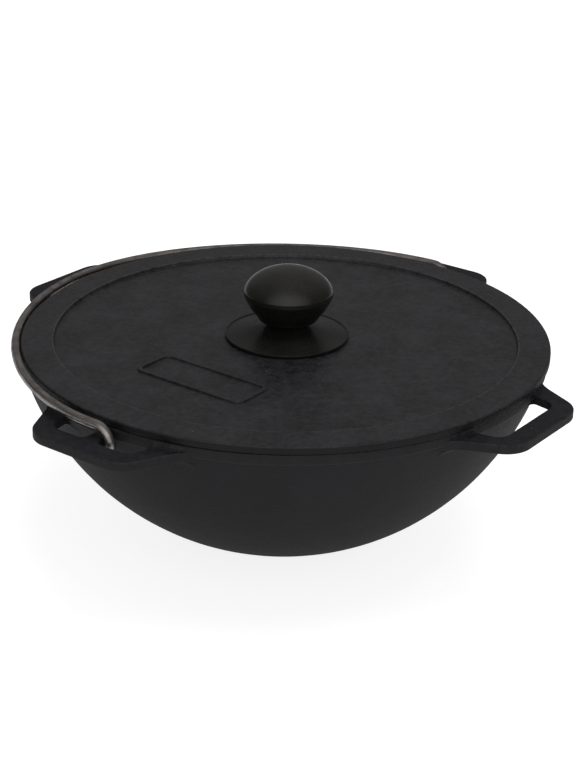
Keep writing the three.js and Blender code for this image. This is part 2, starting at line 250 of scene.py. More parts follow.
class Graph:
    def __init__(self, owner):
        owner.use_nodes = True
        self.tree = owner.node_tree

    def feed(self, socket, value):
        if isinstance(value, Value):
            self.tree.links.new(value.socket, socket)
        else:
            socket.default_value = value

    def node(self, kind, settings, sockets, output=0):
        made = self.tree.nodes.new(kind)
        for name, setting in settings.items():
            setattr(made, name, setting)
        for key, value in sockets.items():
            self.feed(made.inputs[key], value)
        return Value(self, made.outputs[output])

    def shade(self, **sockets):
        shader = self.tree.nodes["Principled BSDF"]
        for key, value in sockets.items():
            self.feed(shader.inputs[key.replace("_", " ")], value)

    def layer(self, share, **sockets):
        # a second surface over the first one, as far as share says
        named = {key.replace("_", " "): value for key, value in sockets.items()}
        over = self.node("ShaderNodeBsdfPrincipled", {}, named)
        under = Value(self, self.tree.nodes["Principled BSDF"].outputs[0])
        mixed = self.node("ShaderNodeMixShader", {}, {0: share, 1: under, 2: over})
        self.feed(self.tree.nodes["Material Output"].inputs["Surface"], mixed)

    def place(self):
        return self.node("ShaderNodeTexCoord", {}, {}, "Object")

    def cloud(self, place, size, detail=2.0, rough=0.5):
        sockets = {"Vector": place, "Scale": 1 / (size * mm), "Detail": detail, "Roughness": rough}
        return self.node("ShaderNodeTexNoise", {}, sockets)

    def cells(self, place, size, feature="F1"):
        sockets = {"Vector": place, "Scale": 1 / (size * mm)}
        return self.node("ShaderNodeTexVoronoi", {"feature": feature}, sockets)

    def ranged(self, value, fromLow, fromHigh, low=0.0, high=1.0):
        sockets = {"Value": value, "From Min": fromLow, "From Max": fromHigh,
                   "To Min": low, "To Max": high}
        return self.node("ShaderNodeMapRange", {}, sockets)

    def between(self, share, first, second):
        return self.node("ShaderNodeMix", {"data_type": "RGBA"}, {0: share, 6: first, 7: second}, 2)

    def bump(self, height, strength, depth, under=None):
        sockets = {"Height": height, "Strength": strength, "Distance": depth * mm}
        if under:
            sockets["Normal"] = under
        return self.node("ShaderNodeBump", {}, sockets)


# Finishes

castIronLook = {
    "toneShares": (0.5, 0.3, 0.2),  # mottle, patch and grain
    "heightShares": (0.45, 0.35, 0.2),  # pebble, grain and mottle
    "toneRange": (0.36, 0.64), "cloudDetail": 3, "cloudRough": 0.6, "seamSamples": 4,
    # the next keys say where edges are painted paler, partly as rubbed wear and partly as painted
    # highlight, and how much smoother they are
    "wearHighlightRange": (0.3, 0.55), "wearHighlightPolish": 0.12, "speckStrength": 0.7, "speckedPatch": 0.5,
    # the keys that end this table set the painted shade, a dull dark layer on upright faces
    "mottleRoughness": 0.16, "grainRoughness": 0.12, "paintedShadeRoughness": 0.9, "paintedShadeGloss": 0.05,
    "paintedShadeFaces": (0.7, 0.3), "paintedShadeMottle": (0.2, 0.6, 0.8, 1.0),
}


def castIron(name, look, wearHighlightWhere, paintedShadeWhere=None):
    material = bpy.data.materials.new(name)
    graph = Graph(material)
    place = graph.place()
    skin = castIronLook
    grain = graph.cloud(place, look["grain"], skin["cloudDetail"], skin["cloudRough"])
    pebble = 1 - graph.cells(place, look["pebble"], "SMOOTH_F1")
    mottle = graph.cloud(place, look["mottle"], skin["cloudDetail"], skin["cloudRough"])
    patch = graph.cloud(place, look["patch"])
    mottleTone, patchTone, grainTone = skin["toneShares"]
    tone = mottle * mottleTone + patch * patchTone + grain * grainTone
    colour = graph.between(graph.ranged(tone, *skin["toneRange"]), look["dark"], look["pale"])
    # edges painted paler: partly rubbed bare iron, partly painted highlight along the edges
    wornAndHighlit = wearHighlightWhere(graph, place) * graph.ranged(mottle, *skin["wearHighlightRange"])
    colour = graph.between(wornAndHighlit * look["wearAndHighlightShare"], colour, look["bare"])
    speck = graph.cells(place, look["speckSpacing"]) < look["speckShare"]
    speck = speck * (patch > skin["speckedPatch"])
    colour = graph.between(speck * skin["speckStrength"], colour, look["speckColour"])
    seamRadius = {"Radius": look["seamRound"] * mm}
    seam = graph.node("ShaderNodeBevel", {"samples": skin["seamSamples"]}, seamRadius)
    pebbleHeight, grainHeight, mottleHeight = skin["heightShares"]
    height = pebble * pebbleHeight + grain * grainHeight + mottle * mottleHeight
    rough = graph.bump(height, look["bump"], look["bumpDepth"], seam)
    unevenness = (mottle - 0.5) * skin["mottleRoughness"] + (grain - 0.5) * skin["grainRoughness"]
    roughness = look["roughness"] + unevenness - wornAndHighlit * skin["wearHighlightPolish"]
    graph.shade(Base_Color=colour, Roughness=roughness, Specular_IOR_Level=look["gloss"], Normal=rough)
    if paintedShadeWhere:  # painted shade: a dull dark layer on upright faces, patchy with the mottle, that darkens the lid's side band as shade would
        normal = graph.node("ShaderNodeNewGeometry", {}, {}, "Normal")
        level = graph.node("ShaderNodeSeparateXYZ", {}, {"Vector": normal}, "Z")
        share = paintedShadeWhere(graph, place) * graph.ranged(level, *skin["paintedShadeFaces"]) * look["paintedShadeShare"]
        share = share * graph.ranged(mottle, *skin["paintedShadeMottle"])
        graph.layer(share, Base_Color=look["paintedShadeColour"], Roughness=skin["paintedShadeRoughness"],
                    Specular_IOR_Level=skin["paintedShadeGloss"], Normal=rough)
    return material


mouldedLook = {
    "flowDetail": 3, "flowRange": (0.35, 0.65), "peelDetail": 1,
    "dustStrength": 0.35, "dustRoughness": 0.3,
    "smearDetail": 4, "smearRough": 0.65, "handledRange": (0.4, 0.7), "handledRoughness": 0.1,
}


def phenolic(name, look):
    material = bpy.data.materials.new(name)
    graph = Graph(material)
    place = graph.place()
    flow = graph.cloud(place, look["flow"], mouldedLook["flowDetail"])
    peel = graph.cloud(place, look["peel"], mouldedLook["peelDetail"])
    smear = graph.cloud(place, look["smear"], mouldedLook["smearDetail"], mouldedLook["smearRough"])
    dust = graph.cells(place, look["dustSpacing"]) < look["dustShare"]
    colour = graph.between(graph.ranged(flow, *mouldedLook["flowRange"]), look["dark"], look["pale"])
    colour = graph.between(dust * mouldedLook["dustStrength"], colour, look["dust"])
    handled = graph.ranged(smear, *mouldedLook["handledRange"])
    roughness = look["roughness"] + handled * mouldedLook["handledRoughness"]
    roughness = roughness + dust * mouldedLook["dustRoughness"]
    peeled = graph.bump(peel, look["bump"], look["bumpDepth"])
    graph.shade(Base_Color=colour, Roughness=roughness, Specular_IOR_Level=look["gloss"], Normal=peeled)
    return material


def drawnWire(name, look):
    # u runs round the wire and v along it, both in millimetres
    material = bpy.data.materials.new(name)
    graph = Graph(material)
    along = graph.node("ShaderNodeTexCoord", {}, {}, "UV")
    drawn = {0: along, 1: look["streak"]}
    stretch = graph.node("ShaderNodeVectorMath", {"operation": "MULTIPLY"}, drawn)
    streaks = {"Vector": stretch, "Scale": 1.0, "Detail": look["streakDetail"]}
    streak = graph.node("ShaderNodeTexNoise", {}, streaks)
    place = graph.place()
    scale = graph.cloud(place, look["scalePatch"], look["scaleDetail"], look["scaleRough"])
    pit = graph.cells(place, look["pit"])
    scaled = graph.ranged(scale, *look["scaleRange"])
    colour = graph.between(graph.ranged(streak, *look["streakRange"]), look["dark"], look["bright"])
    colour = graph.between(scaled * look["scaleShare"], colour, look["scaleColour"])
    unevenness = (streak - 0.5) * look["streakRoughness"] + scaled * look["scaleRoughness"]
    roughness = look["roughness"] + unevenness
    height = streak * look["streakHeight"] + graph.ranged(pit, *look["pitRange"]) * look["pitHeight"]
    graph.shade(Base_Color=colour, Roughness=roughness, Metallic=1.0,
                Normal=graph.bump(height, look["bump"], look["bumpDepth"]))
    return material


def plainMetal(name, look):
    material = bpy.data.materials.new(name)
    graph = Graph(material)
    place = graph.place()
    haze = graph.cloud(place, look["haze"], look["hazeDetail"], look["hazeRough"])
    marks = {"Vector": place, "Scale": 1 / (look["turning"] * mm), "Distortion": look["turningWobble"]}
    turning = graph.node("ShaderNodeTexWave", {"bands_direction": "Z"}, marks)
    colour = graph.between(graph.ranged(haze, *look["hazeRange"]), look["dark"], look["bright"])
    roughness = look["roughness"] + (haze - 0.5) * look["hazeRoughness"]
    height = turning * look["turningHeight"] + haze * look["hazeHeight"]
    graph.shade(Base_Color=colour, Roughness=roughness, Metallic=1.0,
                Normal=graph.bump(height, look["bump"], look["bumpDepth"]))
    return material


def dressed(piece, finish, body, slot, *nodes):
    piece.data.materials.clear()
    piece.data.materials.append(finish)
    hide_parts(*nodes)
    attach(piece, body)
    print(piece.name, "made:", len(piece.data.polygons), "faces")


# Pot: bowl and four cast ears

bowl = {
    "rimRadius": 180, "footRadius": 40, "wall": 4.5, "floor": 5.5,
    "bandHeight": 7, "bandProud": 0.8, "rimRound": 1.2,
    "waveHeight": 0.1, "waveLength": 24, "waveFrom": 6,
    "footSpacing": 8, "wallSteps": 64, "ledgeSteps": 8, "roundSteps": 6,
}
ear = {
    "outerHalfWidth": 37, "rootHalfWidth": 55, "cornerRadius": 19.5, "rootFillet": 34,
    "rootSweep": 31, "filletSweep": 20.5,  # degrees along the rim, for the plate and its fillets
    "drop": 4.1, "thickness": 6.2, "edgeRound": 0.8, "underFillet": 9, "topFillet": 2,
    "barWidth": 15, "armWidth": 11.5, "slotFlare": 10, "slotCorner": 9, "webWidth": 10, "webCorner": 4,
    "outlineSteps": 20, "windowSteps": 14, "underSteps": 16, "topSteps": 8,
    # the last keys say which edges are painted paler, as wear and painted highlight
    "wearHighlightPointiness": (0.515, 0.56), "wearHighlightFade": 0.8,
}
potIron = {
    "dark": (0.0028, 0.0029, 0.0036, 1), "pale": (0.0108, 0.011, 0.0142, 1),
    # a paler colour for edges, rubbed bare iron and painted highlight; its share is set further down
    "bare": (0.05, 0.048, 0.046, 1), "speckColour": (0.1, 0.096, 0.092, 1),
    "grain": 0.9, "pebble": 1.7, "mottle": 4.5, "patch": 28,
    "speckSpacing": 16, "speckShare": 0.028, "wearAndHighlightShare": 0.5, "seamRound": 1.1,
    "roughness": 0.66, "gloss": 0.4, "bump": 0.8, "bumpDepth": 0.5,
}
bowlHeight = nodeBox("cauldron_body")[1].z
earReach = nodeBox("cauldron_body")[1].x
wallTopRadius = bowl["rimRadius"] - bowl["bandProud"]
bowlCentre = (wallTopRadius ** 2 + bowlHeight ** 2 - bowl["footRadius"] ** 2) / (2 * bowlHeight)
outerSphere = math.hypot(bowl["footRadius"], bowlCentre)
innerSphere = outerSphere - bowl["wall"]


def sphereRadiusAt(sphere, z):
    return math.sqrt(sphere ** 2 - (bowlCentre - z) ** 2)


def sphereArc(sphere, low, high, steps):
    angles = [-math.degrees(math.asin((bowlCentre - z) / sphere)) for z in (low, high)]
    return arcPoints((0, bowlCentre), sphere, angles[0], angles[1], steps)


innerRimRadius = sphereRadiusAt(innerSphere, bowlHeight)


def bowlOutside():
    rim, rounding, proud = bowl["rimRadius"], bowl["rimRound"], bowl["bandProud"]
    bandBottom = bowlHeight - bowl["bandHeight"]
    wallTop = bandBottom - 2 * proud
    wallEnd = sphereRadiusAt(outerSphere, wallTop)
    ledge = bezierPoints([(wallEnd, wallTop), (wallEnd + proud / 2, wallTop + 2 * proud),
                          (rim, wallTop + proud / 2), (rim, bandBottom + proud)], bowl["ledgeSteps"])
    profile = evenly([(0, 0), (bowl["footRadius"], 0)], bowl["footSpacing"])[:-1]
    profile += sphereArc(outerSphere, 0, wallTop, bowl["wallSteps"])[:-1] + ledge
    profile += arcPoints((rim - rounding, bowlHeight - rounding), rounding, 0, 90, bowl["roundSteps"])
    return turned("pot_casting", profile + [(0, bowlHeight)])


def bowlInside():
    rounding, floor = bowl["rimRound"], bowl["floor"]
    roundStart = bowlHeight - rounding
    rimInside = sphereRadiusAt(innerSphere, roundStart)
    floorRadius = sphereRadiusAt(innerSphere, floor)
    profile = evenly([(0, floor), (floorRadius, floor)], bowl["footSpacing"])[:-1]
    profile += sphereArc(innerSphere, floor, roundStart, bowl["wallSteps"])[:-1]
    profile += arcPoints((rimInside + rounding, roundStart), rounding, 180, 90, bowl["roundSteps"])
    above = bowlHeight + bowl["wall"]
    return turned("bowl_inside", profile + [(rimInside + rounding, above), (0, above)])


earTop = bowlHeight - ear["drop"]
earBottom = earTop - ear["thickness"]
earMiddle = (earTop + earBottom) / 2
slotOuter = earReach - ear["barWidth"]


def earLoops(hasWeb, sweep):
    rim, outer, root = bowl["rimRadius"], ear["outerHalfWidth"], ear["rootHalfWidth"]
    rootX = math.sqrt(rim ** 2 - root ** 2)
    endX = innerRimRadius * math.cos(math.radians(sweep))
    endY = innerRimRadius * math.sin(math.radians(sweep))
    fillet, corner = ear["rootFillet"], ear["cornerRadius"]
    outline = roundedLoop([(endX, -endY), (rootX, -root, fillet), (earReach, -outer, corner),
                           (earReach, outer, corner), (rootX, root, fillet), (endX, endY)],
                          ear["outlineSteps"])
    inner = sphereRadiusAt(innerSphere, earTop)
    far = outer + (root - outer) / (earReach - rootX) * ear["barWidth"] - ear["armWidth"]
    flared = far + (slotOuter - inner) * math.tan(math.radians(ear["slotFlare"]))
    if not hasWeb:
        window = [(inner, -flared), (slotOuter, -far, ear["slotCorner"]),
                  (slotOuter, far, ear["slotCorner"]), (inner, flared)]
        return [outline, roundedLoop(window, ear["windowSteps"])]
    near = ear["webWidth"] / 2
    windows = [[(inner, side * near), (slotOuter, side * near, ear["webCorner"]),
                (slotOuter, side * far, ear["slotCorner"]), (inner, side * flared)] for side in (-1, 1)]
    return [outline] + [roundedLoop(window, ear["windowSteps"]) for window in windows]


def earSolid(hasWeb):
    ball, rim, soft = ear["underFillet"], bowl["rimRadius"], ear["topFillet"]
    ballZ = earBottom - ball
    ballX = math.sqrt((outerSphere + ball) ** 2 - (bowlCentre - ballZ) ** 2)
    touch = 180 - math.degrees(math.atan2(bowlCentre - ballZ, ballX))
    inside = sphereRadiusAt(innerSphere, ballZ) - ball
    under = [(inside, ballZ - ball)] + arcPoints((ballX, ballZ), ball, touch, 90, ear["underSteps"])
    under = turned("under_fillet", under + [(ballX, earMiddle), (inside, earMiddle)])
    over = [(rim - soft, earMiddle), (rim + soft, earMiddle)]
    over += arcPoints((rim + soft, earTop + soft), soft, 270, 180, ear["topSteps"])
    over = turned("over_fillet", over + [(rim - soft, earTop + soft)])
    for fillet in (under, over):
        loops = earLoops(hasWeb, ear["filletSweep"])
        plan = plate("ear_plan", loops, ballZ - 2 * ball, bowlHeight, 0, ear["edgeRound"])
        combined(fillet, "INTERSECT", plan)
    solid = plate("ear_plate", earLoops(hasWeb, ear["rootSweep"]), earBottom, earTop, ear["edgeRound"])
    return combined(solid, "UNION", under, over)


def wornAndHighlitEdges(graph, place):
    # rubbed wear and painted highlight on the edges of the rim and the ears, but not on the seams under
    # the ears
    edge = graph.node("ShaderNodeNewGeometry", {}, {}, "Pointiness")
    height = graph.node("ShaderNodeSeparateXYZ", {}, {"Vector": place}, "Z")
    aboveSeams = graph.ranged(height, (earBottom - ear["wearHighlightFade"]) * mm, earBottom * mm)
    return graph.ranged(edge, *ear["wearHighlightPointiness"]) * aboveSeams


bailEar, plainEar = earSolid(True), earSolid(False)
ears = [bailEar, turnedCopy(bailEar, 180), turnedCopy(plainEar, 90), turnedCopy(plainEar, 270)]
bpy.data.objects.remove(plainEar)
pot = castSkin(bowlOutside(), bowl["waveHeight"], bowl["waveLength"], bowl["waveFrom"])
inside = castSkin(bowlInside(), bowl["waveHeight"], bowl["waveLength"], bowl["waveFrom"])
combined(pot, "UNION", *ears)
combined(pot, "DIFFERENCE", inside)
smoothed(pot)
dressed(pot, castIron("pot_iron_finish", potIron, wornAndHighlitEdges), "pot", "pot_iron", "cauldron_body")


# Lid: turned disc with a recessed panel and a plain raised border on it

lid = {
    "edgeProud": 1.1,  # beyond the edge of the solid
    "edgeThickness": 5.3, "topRound": 1.5, "bottomRound": 0.8, "border": 22.4, "panelThickness": 4.6,
    "recess": 2.2, "stepDraft": 0.4, "stepRound": 0.5, "screwHole": 3.82, "holeRound": 0.4,
    "ringWidth": 3.4, "ringClearance": 4, "ringDraft": 0.8, "ringRound": 0.7,
    "ringFillet": 1.5, "seatFillet": 0.6, "roundSteps": 6, "ringSpacing": 7,
    # waviness, then the place and width of the step's thin line of wear and painted highlight
    "waveHeight": 0.07, "waveLength": 30, "wearHighlightOutset": 0.4, "wearHighlightWidth": 0.9,
    # how far out from the panel the painted shade starts and where it is full
    "paintedShadeStart": 3, "paintedShadeFull": 6,
}
plaque = {
    "centre": (-93, -5), "length": 88, "width": 34, "cornerRadius": 7,
    "lineWidth": 3.4, "raised": 1.2, "edgeRound": 0.45, "rooted": 1.5, "cornerSteps": 10,
}
lidIron = {
    **potIron, "dark": (0.0026, 0.0024, 0.0028, 1), "pale": (0.0172, 0.0166, 0.0194, 1),
    # on the lid the edge share sets how strongly the step's line of wear and painted highlight shows
    "roughness": 0.46, "gloss": 0.5, "wearAndHighlightShare": 0.4, "speckShare": 0.03,
    # a dark colour painted on the lid's upright faces as shade, and how strongly it covers them
    "paintedShadeColour": (0.0025, 0.0024, 0.0024, 1), "paintedShadeShare": 0.52,
}
lidLow, lidHigh = nodeBox("lid")
lidCentre = (lidLow + lidHigh) / 2
lidTop = lidHigh.z
panelTop = lidTop - lid["recess"]
panelBottom = panelTop - lid["panelThickness"]
lidRadius = (lidHigh.x - lidLow.x) / 2 + lid["edgeProud"]
panelEdge = lidRadius - lid["border"]


def lidDisc():
    bottom = lidTop - lid["edgeThickness"]
    ringOuter = innerRimRadius - lid["ringClearance"]
    ringInner = ringOuter - lid["ringWidth"]
    draft, step, hole = lid["ringDraft"], lid["stepDraft"], lid["screwHole"]
    corners = [
        (hole, panelBottom, lid["holeRound"]), (ringInner - draft, panelBottom, lid["ringFillet"]),
        (ringInner, lidLow.z, lid["ringRound"]), (ringOuter - draft, lidLow.z, lid["ringRound"]),
        (ringOuter, bottom, lid["seatFillet"]), (lidRadius, bottom, lid["bottomRound"]),
        (lidRadius, lidTop, lid["topRound"]), (panelEdge + step, lidTop, lid["stepRound"]),
        (panelEdge - step, panelTop, lid["stepRound"]), (hole, panelTop, lid["holeRound"]),
    ]
    profile = evenly(roundedLoop(corners, lid["roundSteps"]), lid["ringSpacing"])
    return turned("lid_casting", profile, lidCentre)


def plaqueBorder():
    x, y = plaque["centre"]
    loops = []
    for inset in (0, plaque["lineWidth"]):
        halfX = plaque["width"] / 2 - inset
        halfY = plaque["length"] / 2 - inset
        rounding = plaque["cornerRadius"] - inset
        corners = [(x - halfX, y - halfY, rounding), (x + halfX, y - halfY, rounding),
                   (x + halfX, y + halfY, rounding), (x - halfX, y + halfY, rounding)]
        loops.append(roundedLoop(corners, plaque["cornerSteps"]))
    return plate("plaque_border", loops, panelTop - plaque["rooted"], panelTop + plaque["raised"],
                 plaque["edgeRound"])


def fromLidAxis(graph, place):
    away = graph.node("ShaderNodeVectorMath", {"operation": "SUBTRACT"}, {0: place, 1: lidCentre * mm})
    level = graph.node("ShaderNodeVectorMath", {"operation": "MULTIPLY"}, {0: away, 1: (1, 1, 0)})
    return graph.node("ShaderNodeVectorMath", {"operation": "LENGTH"}, {0: level}, "Value")


def paintedShadeRim(graph, place):
    # painted shade on the lid's outer edge, but not on the step round the panel
    start, full = panelEdge + lid["paintedShadeStart"], panelEdge + lid["paintedShadeFull"]
    return graph.ranged(fromLidAxis(graph, place), start * mm, full * mm)


def wornAndHighlitStep(graph, place):
    # a thin line of wear and painted highlight on the upper edge of the step round the panel
    reach, width = fromLidAxis(graph, place), lid["wearHighlightWidth"] * mm
    edge = (panelEdge + lid["stepDraft"] + lid["wearHighlightOutset"]) * mm
    return graph.ranged(reach, edge - width, edge) * graph.ranged(reach, edge + width, edge)


lidPiece = castSkin(lidDisc(), lid["waveHeight"], lid["waveLength"], 0)
combined(lidPiece, "UNION", plaqueBorder())
smoothed(lidPiece)
dressed(lidPiece, castIron("lid_iron_finish", lidIron, wornAndHighlitStep, paintedShadeRim), "lid", "lid_iron", "lid")


# Knob: phenolic skirt and head, with the screw that holds them

skirt = {
    "rimHeight": 2.2, "edgeRound": 0.7, "lip": 2.5, "lipRound": 0.2,
    "beadWidth": 1.5, "beadDepth": 0.5, "beadSlope": 0.5, "beadOuterRound": 0.6, "beadInnerRound": 0.3,
    "hollow": 4, "hollowRound": 0.8, "hubRadius": 10, "hubRound": 0.4, "holeRound": 0.3,
    "neckRadius": 9.5, "neckFlare": 6, "neckRound": 0.5, "dishRise": 3,
    "dishSteps": 28, "roundSteps": 6, "sides": 160,
}
head = {
    "bandBottom": 30.4, "bandTop": 33.2, "bandRound": 0.45, "baseRadius": 20.3, "baseRound": 0.8,
    "cupStart": 1.2, "cupBulge": 1, "domeShoulder": 0.55, "domeInset": 3, "domeCrown": 0.47,
    "boreClearance": 0.3, "boreRound": 0.4,
    "cupSteps": 16, "domeSteps": 40, "roundSteps": 6, "sides": 160,
}
headPhenolic = {
    "dark": (0.0076, 0.0072, 0.0064, 1), "pale": (0.0108, 0.0101, 0.009, 1),
    "dust": (0.05, 0.05, 0.05, 1), "dustSpacing": 5, "dustShare": 0.022,
    "flow": 14, "peel": 2.2, "smear": 9,
    "roughness": 0.22, "gloss": 0.43, "bump": 0.08, "bumpDepth": 0.12,
}
skirtPhenolic = {
    **headPhenolic, "dark": (0.0075, 0.0071, 0.0067, 1), "pale": (0.0108, 0.0103, 0.0098, 1),
    "gloss": 0.15, "dustShare": 0.03,
}


def knobSkirt():
    low, high = nodeBox("knob_skirt")
    radius, rounding, seat, top = (high.x - low.x) / 2, skirt["edgeRound"], low.z, high.z
    hole, hub, neck = lid["screwHole"], skirt["hubRadius"], skirt["neckRadius"]
    rimTop = seat + skirt["rimHeight"]
    bead = radius - skirt["beadWidth"]  # a low bead runs round the edge
    flare = (neck + skirt["neckFlare"], rimTop + skirt["dishRise"])
    dish = bezierPoints([(bead, rimTop - skirt["beadDepth"]), flare, (neck, top - rounding)],
                        skirt["dishSteps"])
    corners = [
        (hole, seat, skirt["holeRound"]), (hub, seat, skirt["hubRound"]),
        (hub, seat + skirt["hollow"], skirt["hollowRound"]),
        (radius - skirt["lip"], seat, skirt["lipRound"]), (radius, seat, rounding),
        (radius, rimTop, skirt["beadOuterRound"]),
        (bead + skirt["beadSlope"], rimTop, skirt["beadInnerRound"]),
        *[tuple(point) for point in dish[:-1]],
        (neck, top, skirt["neckRound"]), (hole, top, skirt["holeRound"]),
    ]
    loop = roundedLoop(corners, skirt["roundSteps"])
    return turned("skirt_moulding", loop, nodeCentre("knob_skirt"), skirt["sides"])


def knobHead():
    low, high = nodeBox("knob_head")
    radius, bottom, apex = (high.x - low.x) / 2, low.z, high.z
    bandBottom, bandTop = panelTop + head["bandBottom"], panelTop + head["bandTop"]
    insertLow, insertHigh = nodeBox("knob_insert")
    bore = (insertHigh.x - insertLow.x) / 2 + head["boreClearance"]
    boreTop = insertHigh.z + head["boreClearance"]
    start = Vector((head["baseRadius"], bottom + head["cupStart"]))
    end = Vector((radius, bandBottom))
    run = end - start
    bow = Vector((run.y, -run.x)).normalized() * 2 * head["cupBulge"]
    cup = bezierPoints([start, start.lerp(end, 0.5) + bow, end], head["cupSteps"])
    shoulder = (radius - head["domeInset"], bandTop + (apex - bandTop) * head["domeShoulder"])
    crown = (radius * head["domeCrown"], apex)
    dome = bezierPoints([(radius, bandTop), shoulder, crown, (0, apex)], head["domeSteps"])
    corners = [
        (0, boreTop), (bore, boreTop, head["boreRound"]), (bore, bottom, head["boreRound"]),
        (head["baseRadius"], bottom, head["baseRound"]), *[tuple(point) for point in cup[1:-1]],
        (radius, bandBottom, head["bandRound"]), (radius, bandTop, head["bandRound"]),
        *[tuple(point) for point in dome[1:]],
    ]
    loop = roundedLoop(corners, head["roundSteps"])
    return turned("knob_moulding", loop, nodeCentre("knob_head"), head["sides"])


skirtFinish = phenolic("skirt_phenolic_finish", skirtPhenolic)
headFinish = phenolic("knob_phenolic_finish", headPhenolic)
dressed(smoothed(knobSkirt()), skirtFinish, "lid", "skirt_phenolic", "knob_skirt")
dressed(smoothed(knobHead()), headFinish, "lid", "knob_phenolic", "knob_head")

screw = {
    "headHeight": 3.2, "headEdge": 1.1, "headFlat": 2.6, "shankRadius": 2.1, "tipChamfer": 0.7,
    "pitch": 0.7, "threadDepth": 0.4, "threadRun": 19,
    "recessMouth": (5.06, 1.155), "recessFloor": (2.53, 0.88),  # length and width of the cross's slots
    "recessDepth": 1.9, "recessOverrun": 0.2,
    "headSteps": 8, "shankSpacing": 2, "pitchSteps": 4, "sides": 32,
}
washer = {"bore": 2.6, "edgeRound": 0.3, "roundSteps": 4, "sides": 64}
zincSteel = {
    "dark": (0.30, 0.31, 0.32, 1), "bright": (0.47, 0.47, 0.46, 1), "roughness": 0.34,
    "haze": 2.4, "hazeDetail": 4, "hazeRough": 0.6, "hazeRange": (0.35, 0.65), "hazeRoughness": 0.25,
    "hazeHeight": 0.5,
    "turning": 0.25, "turningWobble": 0.6, "turningHeight": 0.5, "bump": 0.12, "bumpDepth": 0.05,
}
brass = {**zincSteel, "dark": (0.33, 0.22, 0.08, 1), "bright": (0.48, 0.34, 0.14, 1), "haze": 3.5}


def knobScrew():
    low, high = nodeBox("knob_screw")
    headRadius, shank = (high.x - low.x) / 2, screw["shankRadius"]
    headTop = low.z + screw["headHeight"]
    threadStart = high.z - screw["threadRun"]

    def thread(radius, z, angle):
        if z < threadStart or radius < shank:
            return radius
        turn = (z / screw["pitch"] - angle / (2 * math.pi)) % 1
        return radius - screw["threadDepth"] * abs(2 * turn - 1)

    pan = bezierPoints([(screw["headFlat"], low.z), (headRadius, low.z),
                        (headRadius, headTop - screw["headEdge"])], screw["headSteps"])
    chamfer, threadStep = screw["tipChamfer"], screw["pitch"] / screw["pitchSteps"]
    shaft = evenly([(shank, headTop), (shank, threadStart)], screw["shankSpacing"])
    shaft += evenly([(shank, threadStart), (shank, high.z - chamfer)], threadStep)[1:]
    profile = [(0, low.z), *pan, (headRadius, headTop), *shaft, (shank - chamfer, high.z), (0, high.z)]
    centre = nodeCentre("knob_screw")
    piece = turned("knob_bolt", profile, centre, screw["sides"], thread)
    for turn in (0, 90):  # cross recess in the pan head
        spin = Matrix.Rotation(math.radians(turn), 3, "Z")
        slot = bmesh.new()
        bmesh.ops.create_cube(slot, size=1)
        for vertex in slot.verts:
            deep = vertex.co.z > 0
            length, width = screw["recessFloor"] if deep else screw["recessMouth"]
            z = low.z + (screw["recessDepth"] if deep else -screw["recessOverrun"])
            corner = spin @ Vector((vertex.co.x * length, vertex.co.y * width, 0))
            vertex.co = corner * mm + Vector((centre.x, centre.y, z)) * mm
        combined(piece, "DIFFERENCE", pieceFrom(slot, "cross_recess"))
    return piece


def knobWasher():
    low, high = nodeBox("knob_washer")
    radius, bore, rounding = (high.x - low.x) / 2, washer["bore"], washer["edgeRound"]
    corners = [(bore, low.z, rounding), (radius, low.z, rounding), (radius, high.z, rounding),
               (bore, high.z, rounding)]
    loop = roundedLoop(corners, washer["roundSteps"])
    return turned("knob_bolt_washer", loop, nodeCentre("knob_washer"), washer["sides"])


steelFinish = plainMetal("zinc_steel_finish", zincSteel)
dressed(smoothed(knobScrew()), steelFinish, "lid", "screw_steel", "knob_screw")
dressed(smoothed(knobWasher()), steelFinish, "lid", "screw_steel", "knob_washer")
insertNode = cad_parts["knob_insert"]
insertNode.data.materials.clear()
insertNode.data.materials.append(plainMetal("brass_finish", brass))


# Bail: one drawn wire, hooked round the webs of two ears

bail = {
    "wireRadius": 2.8, "wireSwell": 0.2, "endRound": 0.5, "endAngles": (0, 0.5, 1, math.pi / 2),
    "hookPlay": 0.3, "hookToBar": 3, "hookEndAngle": 300, "hookReach": 2.2,
    "crownOutset": 5.6, "crownRise": 0.2,
    "hookRise": {-1: 2, 1: 0},  # side -1 is at negative x, side 1 at positive x
    "shoulderOutset": {-1: 1.8, 1: 2.8}, "shoulderRise": {-1: 0.4, 1: -1.2},
    "hookSteps": 56, "archSteps": 120, "sides": 24, "sharpAngle": 50,
}
wireSteel = {
    "dark": (0.28, 0.254, 0.24, 1), "bright": (0.52, 0.485, 0.465, 1),
    "scaleColour": (0.14, 0.122, 0.108, 1),
    "streak": (0.8, 0.06, 0), "streakDetail": 4, "streakRange": (0.3, 0.7), "streakRoughness": 0.2,
    "streakHeight": 0.6, "scalePatch": 11, "scaleDetail": 4, "scaleRough": 0.65,
    "scaleRange": (0.46, 0.62), "scaleRoughness": 0.14, "scaleShare": 0.5,
    "pit": 1.3, "pitRange": (0.0, 0.5), "pitHeight": 0.4,
    "roughness": 0.34, "bump": 0.25, "bumpDepth": 0.1,
}


